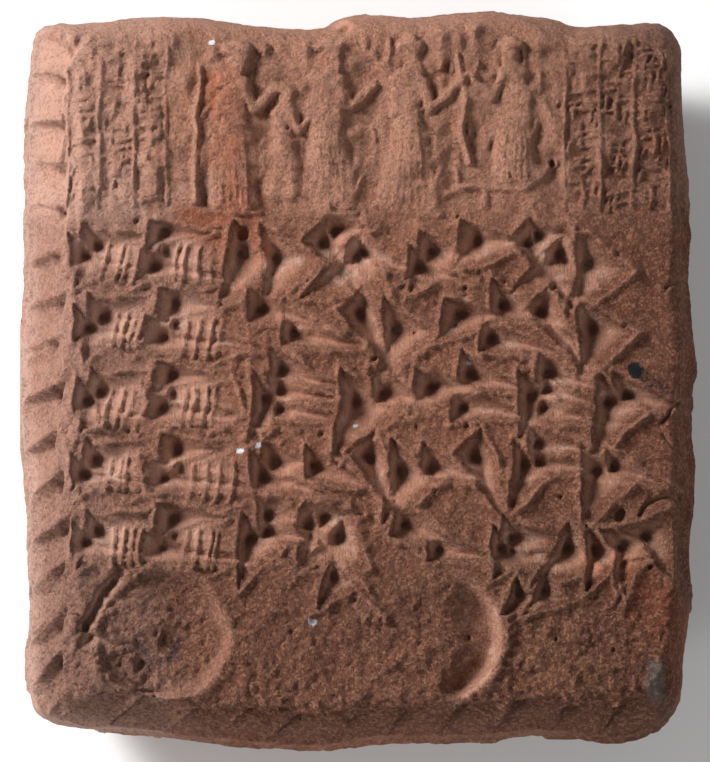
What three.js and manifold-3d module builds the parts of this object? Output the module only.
// A clay tablet covered with pressed strokes, lying on its back with its written face up.
// Millimetres, +Z up, +Y towards the top of the writing, +X to the reader's right.
// The origin is on the flat that the back rests on, under the middle of the tablet.
//
// The tablet is one pillow of clay. Its face carries, from the top down, a band rolled with a seal
// (robed figures between columns of ticks), five rows of wedge-shaped strokes, and two large round marks.
// Its left, bottom and right edges and its back carry strokes too. No cluster of strokes is a real sign.

import * as THREE from "three";
import { ConvexGeometry } from "three/addons/geometries/ConvexGeometry.js";
import { mergeVertices } from "three/addons/utils/BufferGeometryUtils.js";
import Module from "manifold-3d";

const wasm = await Module();
wasm.setup();

// Overall size
const width = 61.2;
const length = 67;
const thickness = 25; // at the middle of the face, which the seal's relief stands a little above
const crown = 0.9; // how much lower the face lies at its corners than at its middle

// Rounding of the rim, drawn in from each side, and down from the face or up from the flat of the back
const faceRound = { left: 4.6, right: 2.6, top: 2.8, bottom: 4.4, depth: 7 };
const backRound = { left: 11, right: 11, top: 11, bottom: 11, depth: 9 };
const belly = 0.35; // how far the middle of the wall stands out beyond its shoulders
const wall = thickness - faceRound.depth - backRound.depth;

// Writing
const rowCount = 5;
const rowPitch = length * 0.0955; // height of a row, which sets the size of every stroke
const rowTop = length * 0.208; // where the seal's band ends and the first row begins
const strokeDepth = 1.7;
const edgeDepth = 0.9;
const backDepth = 1.1;
const above = 1.2; // how far a cutter stands above the surface that it is pressed into
const upperFile = 0.56; // how far up the rounding of an edge its upper file of strokes runs, as a share
const lowerFile = 0.18; // how far down the wall its lower file runs, as a share

// Round marks pressed with the end of a thick rod
const markRadius = rowPitch * 0.92;
const markHeight = length * -0.352;
const markDepth = 0.9;
const slantMarkLength = rowPitch * 3.8;
const slantMarkDepth = 1.5;

// Seal relief
const sealTop = length * 0.462;
const sealRise = 0.5;
const tickRise = 0.35;
const staffRadius = 0.3; // of poles and staffs
const tickRadius = 0.24;
const ruleRadius = 0.16;
const root = 0.5; // how deep the foot of a raised form is rooted in the face

// The outline seen from above, clockwise from the left end of the top edge. Each point is a share of half
// the width and of half the length. A lip of folded clay makes a step in the middle of the top edge.
const outline = [
  [-0.94, 0.95], [-0.84, 0.966], [-0.6, 0.985], [-0.3, 0.97], [-0.12, 0.96], [-0.05, 0.988], [0.15, 0.99],
  [0.36, 1], [0.54, 0.985], [0.65, 0.966], [0.8, 0.978], [0.915, 0.975], [0.96, 0.92], [0.967, 0.8],
  [0.99, 0.5], [0.986, 0.25], [1, 0.03], [0.985, -0.12], [0.985, -0.3], [0.975, -0.47], [0.99, -0.6],
  [0.966, -0.77], [0.955, -0.87], [0.9, -0.93], [0.78, -0.972], [0.6, -0.962], [0.3, -0.975],
  [0.08, -0.98], [-0.15, -1], [-0.4, -0.985], [-0.62, -0.962], [-0.85, -0.937], [-0.945, -0.905],
  [-0.98, -0.82], [-0.973, -0.62], [-0.985, -0.35], [-1, -0.03], [-0.982, 0.25], [-0.99, 0.6], [-0.98, 0.82],
];
const outlineCurve = new THREE.CatmullRomCurve3(
  outline.reverse().map(([u, v]) => new THREE.Vector3(u, v, 0)),
  true,
);
const outlineSteps = 2 * outline.length;
const tracing = outlineCurve.getPoints(4 * outlineSteps);

// Height of the open face over a point, before the rim rounds it off
function domeHeight(x, y) {
  return thickness - (crown * ((x / (width / 2)) ** 2 + (y / (length / 2)) ** 2)) / 2;
}

// The box left when a share of a rounding is drawn in from each side of the shoulders
function drawnIn(round, share, shoulder = belly) {
  const left = -width / 2 + shoulder + round.left * share;
  const right = width / 2 - shoulder - round.right * share;
  const bottom = -length / 2 + shoulder + round.bottom * share;
  const top = length / 2 - shoulder - round.top * share;
  return { left, bottom, wide: right - left, high: top - bottom };
}

function pointIn(box, u, v) {
  return [box.left + ((u + 1) / 2) * box.wide, box.bottom + ((v + 1) / 2) * box.high];
}

// How far out a point lies in a box: 1 on the outline fitted to that box, less inside
function outwardness(box, x, y) {
  const point = new THREE.Vector2(((x - box.left) / box.wide) * 2 - 1, ((y - box.bottom) / box.high) * 2 - 1);
  const start = new THREE.Vector2();
  const end = new THREE.Vector2();
  for (let i = 0; i < tracing.length - 1; i++) {
    start.copy(tracing[i]);
    end.copy(tracing[i + 1]);
    if (start.cross(point) >= 0 && point.cross(end) > 0) {
      end.sub(start);
      return point.cross(end) / start.cross(end);
    }
  }
  return 0;
}

// Height of the finished face over a point, with the rounding of its rim
function faceHeight(x, y) {
  let inner = 1;
  let outer = 0;
  if (outwardness(drawnIn(faceRound, inner), x, y) > 1) {
    for (let i = 0; i < 12; i++) {
      const middle = (inner + outer) / 2;
      if (outwardness(drawnIn(faceRound, middle), x, y) > 1) inner = middle;
      else outer = middle;
    }
  } else {
    outer = 1;
  }
  return domeHeight(x, y) - faceRound.depth * (1 - Math.sqrt(1 - (1 - outer) ** 2));
}

// A point of the rim at an angle up from level: 0 at the shoulder and a quarter turn at the face
function facePoint(u, v, angle) {
  const [x, y] = pointIn(drawnIn(faceRound, 1 - Math.cos(angle)), u, v);
  return new THREE.Vector3(x, y, domeHeight(x, y) - faceRound.depth * (1 - Math.sin(angle)));
}

// A point of the wall, a drop below the shoulder, down to the middle of the wall
function wallPoint(u, v, drop) {
  const [x, y] = pointIn(drawnIn(faceRound, 0, belly * (1 - drop / (wall / 2))), u, v);
  return new THREE.Vector3(x, y, domeHeight(x, y) - faceRound.depth - drop);
}

function backPoint(u, v, angle) {
  const [x, y] = pointIn(drawnIn(backRound, 1 - Math.cos(angle)), u, v);
  return new THREE.Vector3(x, y, backRound.depth * (1 - Math.sin(angle)));
}

// The solid of a closed geometry
function solidOf(geometry) {
  geometry.deleteAttribute("normal");
  geometry.deleteAttribute("uv");
  const merged = mergeVertices(geometry, 1e-4);
  return new wasm.Manifold(
    new wasm.Mesh({
      numProp: 3,
      vertProperties: new Float32Array(merged.attributes.position.array),
      triVerts: new Uint32Array(merged.index.array),
    }),
  );
}

// A closed skin through rings of points that run anticlockwise, each above the last. The first and the last
// ring are single points, and any ring may have fewer points than its neighbour.
function skin(rings) {
  const faces = [];
  let below = 0;
  for (let r = 0; r < rings.length - 1; r++) {
    const lower = rings[r].length;
    const upper = rings[r + 1].length;
    const over = below + lower;
    let i = 0;
    let j = 0;
    while (i < lower || j < upper) {
      const a = below + (i % lower);
      const b = over + (j % upper);
      if (j === upper || (i < lower && (i + 1) / lower <= (j + 1) / upper)) {
        i++;
        if (lower > 1) faces.push(a, below + (i % lower), b);
      } else {
        j++;
        if (upper > 1) faces.push(a, over + (j % upper), b);
      }
    }
    below = over;
  }
  return new THREE.BufferGeometry().setFromPoints(rings.flat()).setIndex(faces);
}

// The plain pillow of clay, from the middle of its flat back round the rim to the middle of its face
function pillow() {
  const quarter = Math.PI / 2;
  const ring = (make, steps = outlineSteps) =>
    outlineCurve.getPoints(steps).slice(0, steps).map((p) => make(p.x, p.y));
  const rings = [[new THREE.Vector3()]];
  for (const angle of [1, 0.73, 0.4, 0]) {
    rings.push(ring((u, v) => backPoint(u, v, angle * quarter)));
  }
  rings.push(ring((u, v) => wallPoint(u, v, wall / 2)));
  for (const angle of [0, 0.25, 0.5, 0.75, 1]) {
    rings.push(ring((u, v) => facePoint(u, v, angle * quarter)));
  }
  for (const [share, steps] of [[0.7, outlineSteps / 4], [0.35, outlineSteps / 8]]) {
    rings.push(
      ring((u, v) => {
        const point = facePoint(u, v, quarter).multiplyScalar(share);
        return point.setZ(domeHeight(point.x, point.y));
      }, steps),
    );
  }
  rings.push([new THREE.Vector3(0, 0, thickness)]);
  return solidOf(skin(rings));
}

// A place is a function that turns (across, up, out) into a point: across and up lie in the surface, and out
// stands away from it.
function onFace(x, y) {
  return (across, up, out) => {
    const z = faceHeight(x + across, y + up);
    return new THREE.Vector3(x + across, y + up, z + out);
  };
}

function onBack(x, y) {
  return (across, up, out) => new THREE.Vector3(x - across, y + up, -out);
}

// A place on an edge: along runs with the edge from its middle, and lift is the way from the shoulder up
// round the rim, negative for the wall below.
const facing = { left: [-1, 0], right: [1, 0], bottom: [0, -1] };

function bendOf(side) {
  return (faceRound[side] + faceRound.depth) / 2;
}

function onEdge(side, along, lift) {
  const [outX, outY] = facing[side];
  const bend = bendOf(side);
  const surface = (across, up) => {
    const u = outX || (along + across) / (width / 2);
    const v = outY || (along + across) / (length / 2);
    const share = 1 / outwardness({ left: -1, bottom: -1, wide: 2, high: 2 }, u, v);
    const climb = lift + up;
    if (climb < 0) return wallPoint(u * share, v * share, -climb);
    return facePoint(u * share, v * share, climb / bend);
  };
  return (across, up, out) => {
    const point = surface(across, up);
    const run = surface(across + 0.1, up).sub(point);
    const climb = surface(across, up + 0.1).sub(point);
    const normal = run.cross(climb).normalize();
    if (normal.x * outX + normal.y * outY < 0) normal.negate();
    return point.addScaledVector(normal, out);
  };
}

// The kinds of stroke: three corners on the surface and the deepest point, as shares of its width and
// height. A level stroke has its head on the left and its tail on the right, an upright one its tail below.
const kinds = {
  level: { corners: [[0, 1], [0, 0], [1, -0.15]], tip: [0.12, 0.34] },
  upright: { corners: [[0, 0], [1, -0.42], [-0.12, -1]], tip: [0.15, -0.36] },
};

// Strokes are placed and sized in rows. Turn tips one anticlockwise, in degrees.
function stroke(kind, x, y, wide, high, turn = 0) {
  const p = rowPitch;
  return { ...kinds[kind], x: x * p, y: y * p, wide: wide * p, high: high * p, turn, depth: strokeDepth };
}

function level(x, y, long = 1, turn = 0) {
  return stroke("level", x, y, long, 0.4, turn);
}

function upright(x, y, size = 1, turn = 0) {
  return stroke("upright", x, y, 0.68 * size, 0.72 * size, turn);
}

function narrow(x, y, size = 1, turn = 0) {
  return stroke("upright", x, y, 0.54 * size, 0.88 * size, turn);
}

function broad(x, y, size = 1, turn = 0) {
  return stroke("upright", x, y, 0.84 * size, 0.52 * size, turn);
}

function repeat(n, make) {
  return Array.from({ length: n }, (_, i) => make(i));
}

// Clusters of strokes, each a made-up pattern round its own middle
const clusters = {
  gate: (n) => [
    upright(-0.3, 0.46),
    ...repeat(n, (i) => upright(0.16 * i - 0.04, 0.2, 0.5)),
    level(-0.56, -0.28, 0.95),
  ],
  comb: (n) => [
    broad(-0.44, 0.52),
    ...repeat(n, (i) => upright(0.13 * i - 0.46, 0.14, 0.44)),
    level(-0.72, -0.38, 1.3, 2),
  ],
  stack: (n) => [
    narrow(-0.52, 0.44, 0.9),
    ...repeat(n, (i) => level(-0.28, 0.16 - 0.27 * i, 0.76, 4)),
  ],
  twin: () => [level(-0.62, 0.04, 0.85, -3), level(-0.1, -0.32, 0.85, 3)],
  pair: () => [broad(-0.5, 0.42, 0.9), level(0.12, 0.1, 0.8), level(0, -0.38, 0.9, 3)],
  corner: () => [narrow(-0.22, 0.44, 1.1)],
  wide: () => [broad(-0.4, 0.48, 0.95)],
  spur: () => [upright(-0.24, 0.4, 0.9), level(-0.4, -0.36, 0.8)],
  cross: () => [
    level(-0.62, 0.2, 1.15, -40),
    narrow(0.28, 0.5, 1.1, -38),
    upright(-0.28, 0.56, 0.72, 8),
  ],
  slash: () => [level(-0.36, 0.2, 1.05, -46)],
  post: () => [narrow(-0.12, 0.5, 1.15, -8)],
  tail: () => [level(-0.32, -0.18, 0.8)],
  fan: (n) => repeat(n, (i) => narrow(0.22 * i - 0.4, 0.3 - 0.04 * i, 0.85, 26 * i - 26)),
};

// The rows of the face. Each entry is a cluster, its middle as a share of half the width, and how often its
// small strokes repeat.
const rows = [
  [["gate", -0.745, 1], ["comb", -0.52, 3], ["post", -0.36], ["corner", -0.26], ["cross", -0.06],
    ["tail", 0.02], ["spur", 0.2], ["wide", 0.36], ["cross", 0.54], ["corner", 0.67]],
  [["gate", -0.735, 2], ["comb", -0.5, 4], ["twin", -0.22], ["slash", -0.01], ["corner", 0.1], ["pair", 0.34],
    ["slash", 0.54], ["corner", 0.67]],
  [["gate", -0.735, 1], ["comb", -0.5, 3], ["stack", -0.22, 3], ["corner", -0.02], ["tail", 0.09],
    ["pair", 0.25], ["stack", 0.56, 3], ["corner", 0.72], ["tail", 0.8]],
  [["gate", -0.74, 2], ["comb", -0.49, 4], ["spur", -0.25], ["tail", -0.11], ["slash", 0.02],
    ["corner", 0.12], ["tail", 0.23], ["slash", 0.33], ["stack", 0.54, 2], ["corner", 0.68], ["tail", 0.76]],
  [["gate", -0.74, 1], ["comb", -0.5, 3], ["stack", -0.26, 2], ["cross", -0.1], ["twin", 0.2], ["spur", 0.45],
    ["fan", 0.68, 4]],
];

// Places where clay has come away beside the round mark, as shares of half the width and length, and size
const dents = [[-0.76, -0.55, 0.7], [-0.81, -0.66, 0.8]];

// A small even scatter between -1 and 1 that makes each stroke a little different
function scatter(i) {
  const noise = Math.sin(12.9898 * i + 4.1) * 4375.85;
  return 2 * (noise - Math.floor(noise)) - 1;
}

// The cutter of a stroke at a place: a blunt point with three sides, domed on top as a rounded edge is
function cutter(place, { corners, tip, x, y, wide, high, turn, depth }, index) {
  const angle = THREE.MathUtils.degToRad(turn + 4 * scatter(index));
  const size = 1 + 0.08 * scatter(index + 0.5);
  const start = new THREE.Vector2(x, y);
  const spot = ([u, v]) => {
    const grown = new THREE.Vector2(u * wide, v * high).multiplyScalar(size);
    return grown.add(start).rotateAround(start, angle);
  };
  const deepest = spot(tip);
  const middle = new THREE.Vector2();
  const points = corners.map((corner) => {
    const wider = spot(corner).sub(deepest).multiplyScalar(1 + above / depth).add(deepest);
    middle.addScaledVector(wider, 1 / corners.length);
    return place(wider.x, wider.y, above);
  });
  points.push(place(middle.x, middle.y, 2 * above), place(deepest.x, deepest.y, -depth));
  return solidOf(new ConvexGeometry(points));
}

function faceStrokes() {
  const made = [];
  rows.slice(0, rowCount).forEach((row, r) => {
    for (const [name, share, n] of row) {
      const place = onFace((share * width) / 2, rowTop - (r + 0.5) * rowPitch);
      for (const pressed of clusters[name](n)) made.push(cutter(place, pressed, made.length));
    }
  });
  for (const [u, v, size] of dents) {
    made.push(cutter(onFace((u * width) / 2, (v * length) / 2), upright(0, 0, size, -20), made.length));
  }
  return made;
}

// Two files of strokes along the left edge, two along the bottom one, and a few on the right one
function edgeStrokes() {
  const made = [];
  const file = (side, count, pitch, shift, lift, wide, high, kind) => {
    for (let i = 0; i < count; i++) {
      const along = (i - (count - 1) / 2) * pitch + shift;
      const pressed = stroke(kind, -wide / 2, kind === "level" ? -high / 2 : high / 2, wide, high);
      made.push(cutter(onEdge(side, along, lift), { ...pressed, depth: edgeDepth }, made.length));
    }
  };
  const tall = rowPitch * 0.68;
  const broad = rowPitch * 0.82;
  const left = Math.floor(length / tall);
  const bottom = Math.floor(width / broad);
  const down = -lowerFile * wall;
  file("left", left - 1, tall, 0, upperFile * bendOf("left"), 0.62, 0.5, "upright");
  file("left", left - 2, tall, tall / 2, down, 0.62, 0.66, "upright");
  file("bottom", bottom - 1, broad, 0, upperFile * bendOf("bottom"), 0.78, 0.5, "upright");
  file("bottom", bottom - 2, broad, broad / 2, down, 0.8, 0.5, "level");
  file("right", 4, broad * 1.3, -broad * 0.6, -down, 0.9, 0.45, "level");
  return made;
}

// Two plain rows on the back, above the flat that it rests on
function backStrokes() {
  const made = [];
  for (let r = 0; r < 2; r++) {
    for (let i = 0; i < 5; i++) {
      const place = onBack((i - 2) * rowPitch * 1.2, length * 0.27 - r * rowPitch);
      const pressed = (i + r) % 2 ? clusters.spur() : clusters.gate(1);
      made.push(...pressed.map((one, k) => cutter(place, { ...one, depth: backDepth }, 10 * r + i + k)));
    }
  }
  return made;
}

// The round mark: the end of a rod pressed straight in
function roundMark() {
  const x = -width / 2 + faceRound.left + markRadius * 1.34;
  const rod = new THREE.CylinderGeometry(markRadius, markRadius * 0.9, markDepth + above, 24);
  rod.rotateX(Math.PI / 2).translate(x, markHeight, domeHeight(x, markHeight) + (above - markDepth) / 2);
  return solidOf(rod);
}

// The slanting mark: the side and end of the same rod, deepest at the round end on the right
function slantMark() {
  const shape = new THREE.Shape();
  shape.moveTo(markRadius - slantMarkLength, -markRadius);
  shape.lineTo(0, -markRadius);
  shape.absarc(0, 0, markRadius, -Math.PI / 2, Math.PI / 2, false);
  shape.lineTo(markRadius - slantMarkLength, markRadius);
  const tall = slantMarkDepth + 2 * above;
  const slab = new THREE.ExtrudeGeometry(shape, { depth: tall, bevelEnabled: false, curveSegments: 14 });
  const x = width * 0.2 - markRadius;
  const floor = domeHeight(x, markHeight) - slantMarkDepth;
  slab.rotateY(Math.asin((0.7 * slantMarkDepth) / slantMarkLength));
  slab.rotateX(domeHeight(x, markHeight + 1) - domeHeight(x, markHeight));
  slab.translate(x, markHeight, floor);
  return solidOf(slab);
}

// A raised bar of the seal: a tapering ridge with bevelled flanks from one point of the face to another.
// Ends is the number of corners round each end.
function bar(x1, y1, r1, x2, y2, r2, rise = sealRise, ends = 3) {
  const heading = Math.atan2(y2 - y1, x2 - x1);
  const points = [];
  for (const [x, y, r, start] of [[x1, y1, r1, heading + Math.PI / 2], [x2, y2, r2, heading - Math.PI / 2]]) {
    for (let i = 0; i < ends; i++) {
      const angle = start + (i / (ends - 1)) * Math.PI;
      for (const [share, out] of [[1.15, -root], [0.6, rise]]) {
        const cornerX = x + Math.cos(angle) * r * share;
        const cornerY = y + Math.sin(angle) * r * share;
        points.push(new THREE.Vector3(cornerX, cornerY, faceHeight(cornerX, cornerY) + out));
      }
    }
  }
  return solidOf(new ConvexGeometry(points));
}

const sealBottom = rowTop;
const sealTall = sealTop - sealBottom;

// A robed figure on the band's foot: middle is a share of half the width, tall a share of the band's height,
// look 1 or -1 the side that it faces, and reach how far its forearm goes. Its parts are shares of its
// height.
function robedFigure(middle, tall, look, reach = 0.3, foot = 0.03) {
  const size = tall * sealTall;
  const x = (middle * width) / 2;
  const y = sealBottom + foot * sealTall;
  const at = (u, v, r) => [x + look * u * size, y + v * size, r * size];
  const part = (x1, y1, r1, x2, y2, r2, rise, ends) => {
    return bar(...at(x1, y1, r1), ...at(x2, y2, r2), rise, ends);
  };
  return [
    part(0, 0.03, 0.125, 0, 0.52, 0.075, sealRise, 2), // skirt
    part(0, 0.48, 0.065, 0.01, 0.77, 0.1, sealRise, 2), // chest
    part(0.02, 0.84, 0.045, 0.03, 0.89, 0.06), // head
    part(-0.05, 0.94, 0.035, 0.08, 0.935, 0.03), // cap
    part(0.08, 0.72, 0.035, 0.14, 0.58, 0.03), // upper arm
    part(0.14, 0.58, 0.03, 0.14 + reach / 2, 0.62 + reach / 3, 0.022), // forearm
    part(-0.06, 0.0, 0.022, 0.17, 0.0, 0.018), // feet
    part(-0.06, 0.04, 0.02, -0.025, 0.5, 0.015, sealRise * 1.4, 2), // folds of the robe
    part(0.06, 0.04, 0.02, 0.03, 0.5, 0.015, sealRise * 1.4, 2),
  ];
}

// A panel of the band: columns between upright rules, filled with short ticks that spell nothing
function tickPanel(left, right, columns, perColumn) {
  const pitchX = ((right - left) * width) / 2 / columns;
  const foot = sealBottom + 0.06 * sealTall;
  const pitchY = (0.9 * sealTall) / perColumn;
  const made = [];
  for (let c = 0; c <= columns; c++) {
    const rule = (left * width) / 2 + c * pitchX;
    made.push(bar(rule, foot, ruleRadius, rule, foot + 0.9 * sealTall, ruleRadius, tickRise, 2));
    for (let i = 0; i < perColumn && c < columns; i++) {
      const x = rule + pitchX / 2;
      const y = foot + (i + 0.5) * pitchY;
      const across = (i + c) % 2 ? pitchX * 0.28 : 0;
      const up = across ? 0 : pitchY * 0.28;
      made.push(bar(x - across, y - up, tickRadius, x + across, y + up, 0.85 * tickRadius, tickRise, 2));
    }
  }
  return made;
}

// A raised line through points that are shares of half the width and of the band's height
function ridge(...points) {
  const spots = points.map(([u, v]) => [(u * width) / 2, sealBottom + v * sealTall]);
  return repeat(points.length - 1, (i) => bar(...spots[i], staffRadius, ...spots[i + 1], staffRadius));
}

function sealRelief() {
  return [
    ...tickPanel(-0.87, -0.58, 3, 6),
    ...ridge([-0.5, 0.08], [-0.485, 0.8]),
    ...robedFigure(-0.385, 0.93, 1, 0.2),
    ...robedFigure(-0.235, 0.62, 1, 0.15, 0.1),
    ...robedFigure(-0.11, 0.95, 1, 0.25),
    ...robedFigure(0.13, 0.95, 1, 0.8),
    ...ridge([0.33, 0.85], [0.385, 0.45], [0.43, 0.9]),
    ...ridge([0.385, 0.45], [0.39, 0.26]),
    ...robedFigure(0.49, 0.78, -1, 0.2, 0.2),
    ...ridge([0.24, 0.12], [0.32, 0.18], [0.46, 0.16], [0.56, 0.3]),
    ...tickPanel(0.59, 0.9, 3, 6),
  ];
}

function tablet() {
  const raised = wasm.Manifold.union([pillow(), ...sealRelief()]);
  const pressed = [...faceStrokes(), ...edgeStrokes(), ...backStrokes(), roundMark(), slantMark()];
  const { vertProperties, triVerts } = raised.subtract(wasm.Manifold.union(pressed)).getMesh();
  const geometry = new THREE.BufferGeometry();
  geometry.setAttribute("position", new THREE.BufferAttribute(new Float32Array(vertProperties), 3));
  geometry.setIndex(new THREE.BufferAttribute(new Uint32Array(triVerts), 1));
  const clay = new THREE.MeshStandardMaterial({ color: 0x8c5f4c, roughness: 0.9, metalness: 0 });
  const mesh = new THREE.Mesh(geometry, clay);
  mesh.name = "tablet";
  return mesh;
}

const group = new THREE.Group();
group.add(tablet());

export default group;
